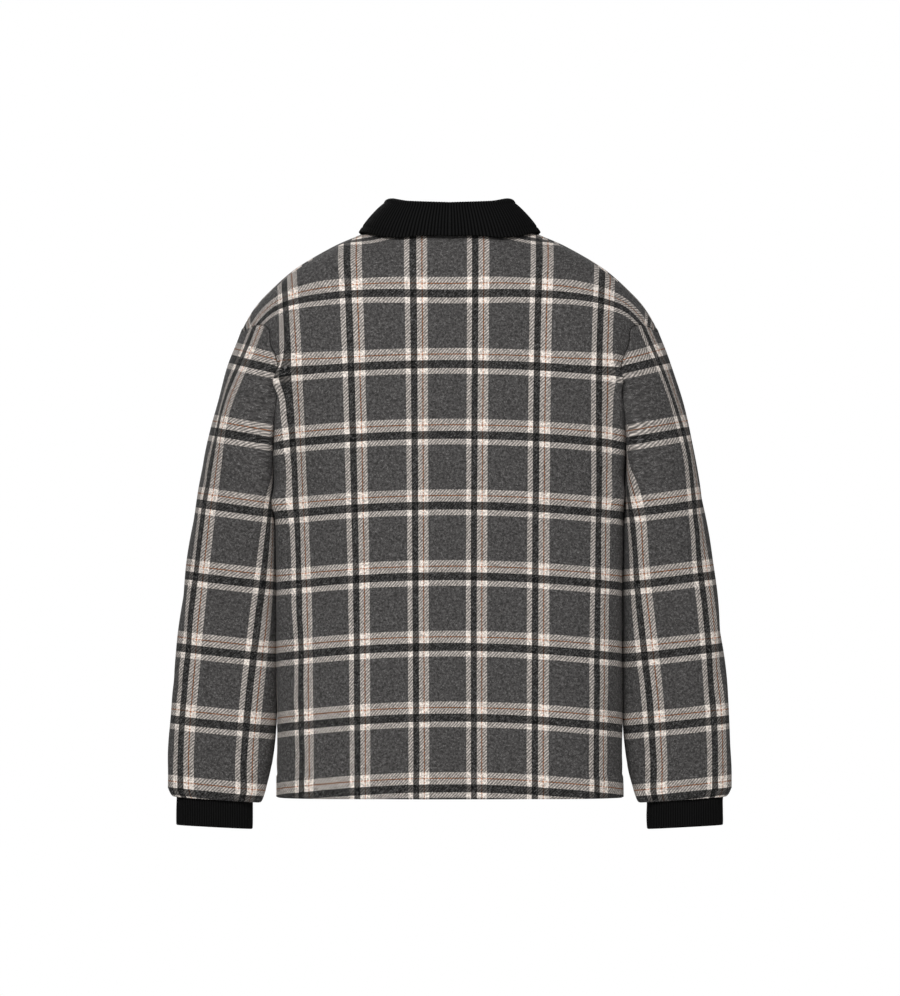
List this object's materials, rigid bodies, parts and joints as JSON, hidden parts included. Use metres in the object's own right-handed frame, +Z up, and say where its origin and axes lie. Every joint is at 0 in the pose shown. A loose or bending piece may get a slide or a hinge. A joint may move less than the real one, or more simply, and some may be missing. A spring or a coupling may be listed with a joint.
{
  "type": "flannel overshirt, filled out as worn",
  "caption": "Boxy long-sleeved plaid flannel overshirt with dropped shoulders, a folded black rib-knit collar, rib-knit cuffs and a buttoned front, hollow as worn.",
  "frame": {"origin": "midway between the two side neck points, at the height of the shoulder line, where the wearer's neck holds the shirt", "axes": "+Z up along the body, +Y towards the wearer's back, +X towards the wearer's left sleeve"},
  "size_m": [0.7056, 0.2206, 0.7878],
  "materials": {
    "flannel": "brushed wool-blend twill in a charcoal, black, cream and orange check, matt with a short nap",
    "rib_knit": "black rib knit, matt",
    "button": "black resin, satin"
  },
  "bodies": {
    "root": {"back": "flannel", "front_left": "flannel", "front_right": "flannel", "sleeve_left": "flannel", "sleeve_right": "flannel", "collar": "rib_knit", "cuff_left": "rib_knit", "cuff_right": "rib_knit", "button_1": "button", "button_2": "button", "button_3": "button", "button_4": "button", "button_5": "button", "button_6": "button"}
  },
  "joints": []
}
